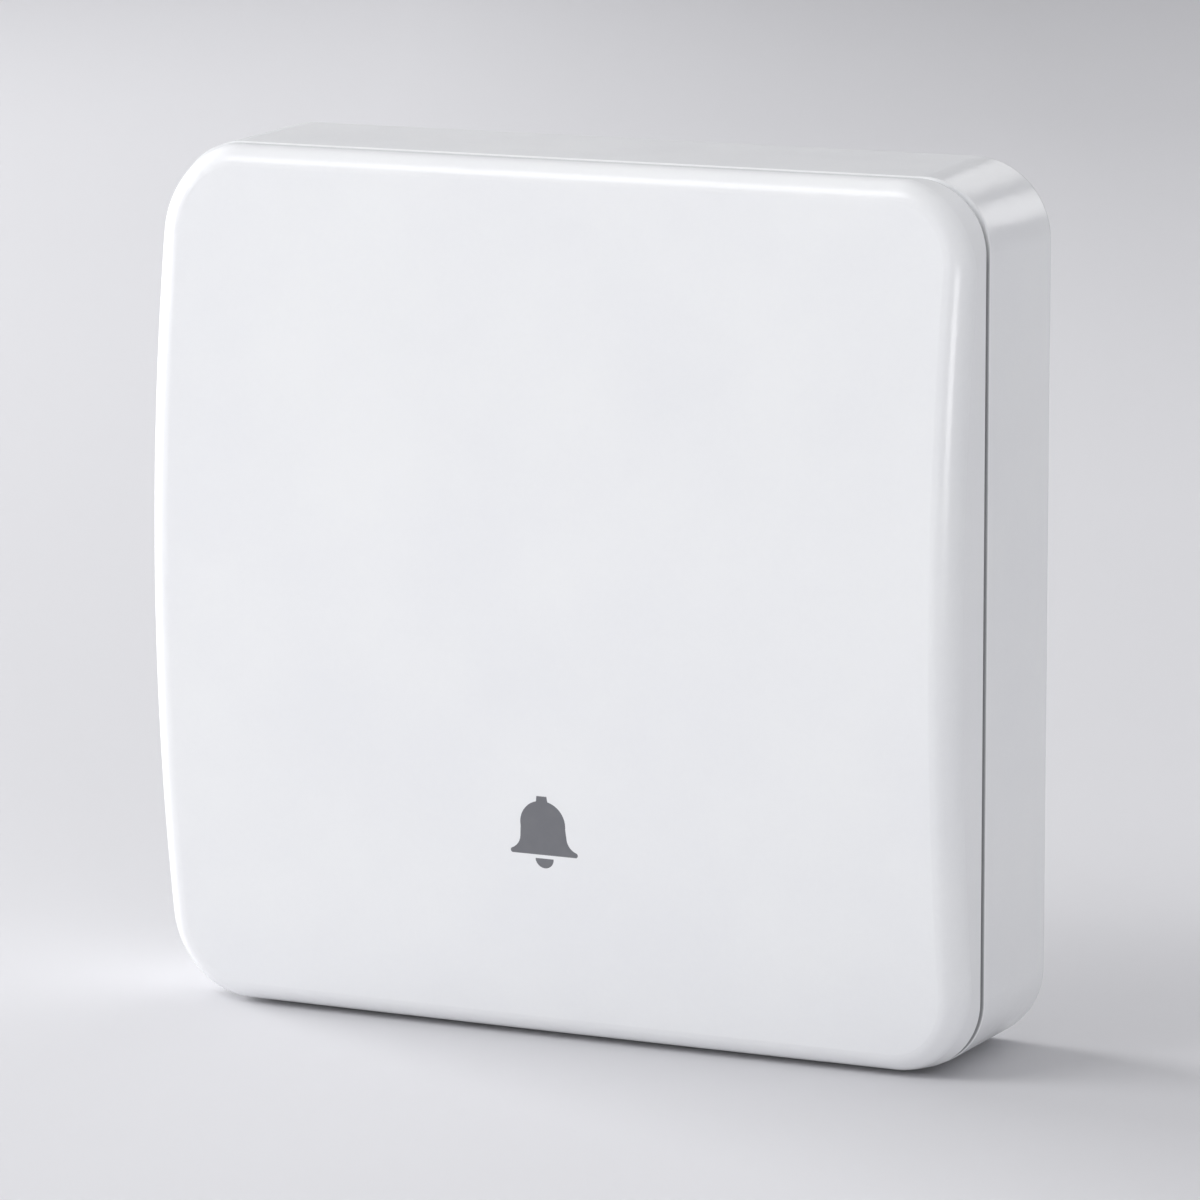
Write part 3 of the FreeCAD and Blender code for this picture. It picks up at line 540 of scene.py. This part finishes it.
def placeCamera(v):
    turn, lift, roll = (math.radians(v[k]) for k in ("azimuth", "elevation", "roll"))
    back = Vector((math.sin(turn) * math.cos(lift), -math.cos(turn) * math.cos(lift), math.sin(lift)))
    level = Vector((math.cos(turn), math.sin(turn), 0))
    upright = back.cross(level)
    right = math.cos(roll) * level + math.sin(roll) * upright
    up = math.cos(roll) * upright - math.sin(roll) * level
    data = bpy.data.cameras.new("studioCamera")
    data.lens = v["lens"]
    data.sensor_width = v["sensor"]
    data.clip_start, data.clip_end = v["clip"]
    camera = bpy.data.objects.new("studioCamera", data)
    stand = Vector(v["target"]) * mm + back * v["distance"] * mm
    camera.matrix_world = Matrix.Translation(stand) @ Matrix((right, up, back)).transposed().to_4x4()
    bpy.context.collection.objects.link(camera)
    bpy.context.scene.camera = camera
    print("camera placed", round(v["distance"]), "mm away")


placeCamera(view)


# in metres: inner and flat are radii, bend is the curve's radius, and wall is the height of the wall's top
floorShape = {
    "level": cadBox[0][2], "inner": 1.2, "flat": 2.4, "wall": 4.5, "bend": 1.2, "bendSteps": 16, "around": 96}


def makeFloor(shape):
    # a round table top that curves up into a wall on every side
    profile = [(0.0, 0.0), (shape["inner"], 0.0), (shape["flat"], 0.0)]
    for i in range(1, shape["bendSteps"] + 1):
        a = i / shape["bendSteps"] * math.pi / 2
        profile.append((shape["flat"] + shape["bend"] * math.sin(a), shape["bend"] * (1 - math.cos(a))))
    profile.append((profile[-1][0], shape["wall"]))
    count = shape["around"]
    points, faces = [(0, 0, shape["level"])], []
    for r, h in profile[1:]:
        for k in range(count):
            a = 2 * math.pi * k / count
            points.append((r * math.cos(a), r * math.sin(a), shape["level"] + h))
    for k in range(count):
        faces.append((0, 1 + k, 1 + (k + 1) % count))
    for ring in range(len(profile) - 2):
        a, b = 1 + ring * count, 1 + (ring + 1) * count
        for k in range(count):
            n = (k + 1) % count
            faces.append((a + k, b + k, b + n, a + n))
    mesh = bpy.data.meshes.new("studioFloor")
    mesh.from_pydata(points, [], faces)
    mesh.shade_smooth()
    floor = bpy.data.objects.new("studioFloor", mesh)
    bpy.context.collection.objects.link(floor)
    print("floor laid with", len(faces), "faces")
    return floor


# behind and across are metres from the object along and across the view,
# where the painted light of the far tone or the painted shade of the dim tone begins and where it is full
floorTone = {
    "near": (216, 216, 219), "far": (224, 224, 227), "farBehind": (0.6, 1.05), "farAcross": (0.12, -0.05),
    "dim": (201, 201, 204), "dimBehind": (0.3, 0.8), "dimAcross": (-0.05, 0.1),
    "fibre": 0.8, "fibreTint": 0.1, "fibreDepth": 0.01, "roughness": 0.75, "specular": 0.2}


def floorFinish(look):
    # matt grey paper, with painted light that makes it paler far behind the object on the left, and painted
    # shade that makes it dimmer on the right
    f = Finish("floorPaper")
    place = f.place()
    fibre = f.noise(place, look["fibre"], 4.0)
    turned = f.node("Mapping", None, {"Vector": place, "Rotation": (0, 0, -math.radians(view["azimuth"]))})
    across = f.node("SeparateXYZ", None, {"Vector": turned})
    behind = f.node("SeparateXYZ", None, {"Vector": turned}, output=1)
    pale = f.ramp(behind, *look["farBehind"]) * f.ramp(across, *look["farAcross"])
    tone = f.mix(pale + (fibre - 0.5) * look["fibreTint"], colour(look["near"]), colour(look["far"]))
    dim = f.ramp(behind, *look["dimBehind"]) * f.ramp(across, *look["dimAcross"])
    tone = f.mix(dim, tone, colour(look["dim"]))
    return f.surface(Base_Color=tone, Roughness=look["roughness"], Specular_IOR_Level=look["specular"],
                     Normal=f.bump(fibre, look["fibreDepth"]))


makeFloor(floorShape).data.materials.append(floorFinish(floorTone))


# each lamp: where it stands, what it is aimed at and its size in millimetres, and its power in watts
lamps = {
    "leftWindow": {"at": (-1252, 221, 300), "aim": (0, -15, 0), "size": (500, 500), "power": 14.8},
    "leftFront": {"at": (-1152, -537, 300), "aim": (0, -15, 0), "size": (500, 500), "power": 6.9},
    "frontHigh": {"at": (-499, -713, 966), "aim": (0, -15, 0), "size": (500, 500), "power": 3.4},
    "rightStrip": {"at": (905, -920, 130), "aim": (0, -15, 20), "size": (520, 300), "power": 3.4},
    "rearLow": {"at": (477, 1157, 352), "aim": (0, -15, 20), "size": (420, 300), "power": 0.75},
    "rearHigh": {"at": (-66, 1157, 589), "aim": (0, -15, 20), "size": (420, 300), "power": 0.45},
}
roomLight = 0.76


def makeLamp(name, lamp):
    data = bpy.data.lights.new(name, "AREA")
    data.shape = "RECTANGLE"
    data.size, data.size_y = (s * mm for s in lamp["size"])
    data.energy = lamp["power"]
    lit = bpy.data.objects.new(name, data)
    at, aim = Vector(lamp["at"]) * mm, Vector(lamp["aim"]) * mm
    lit.location = at
    lit.rotation_euler = (aim - at).to_track_quat("-Z", "Y").to_euler()
    bpy.context.collection.objects.link(lit)


for name, lamp in lamps.items():
    makeLamp(name, lamp)

world = bpy.data.worlds.new("studioRoom")
world.use_nodes = True
sky = world.node_tree.nodes["Background"].inputs
sky["Color"].default_value = (1.0, 1.0, 1.0, 1)
sky["Strength"].default_value = roomLight
bpy.context.scene.world = world
bpy.context.scene.view_settings.view_transform = "Standard"
print("studio lit by", len(lamps), "lamps")
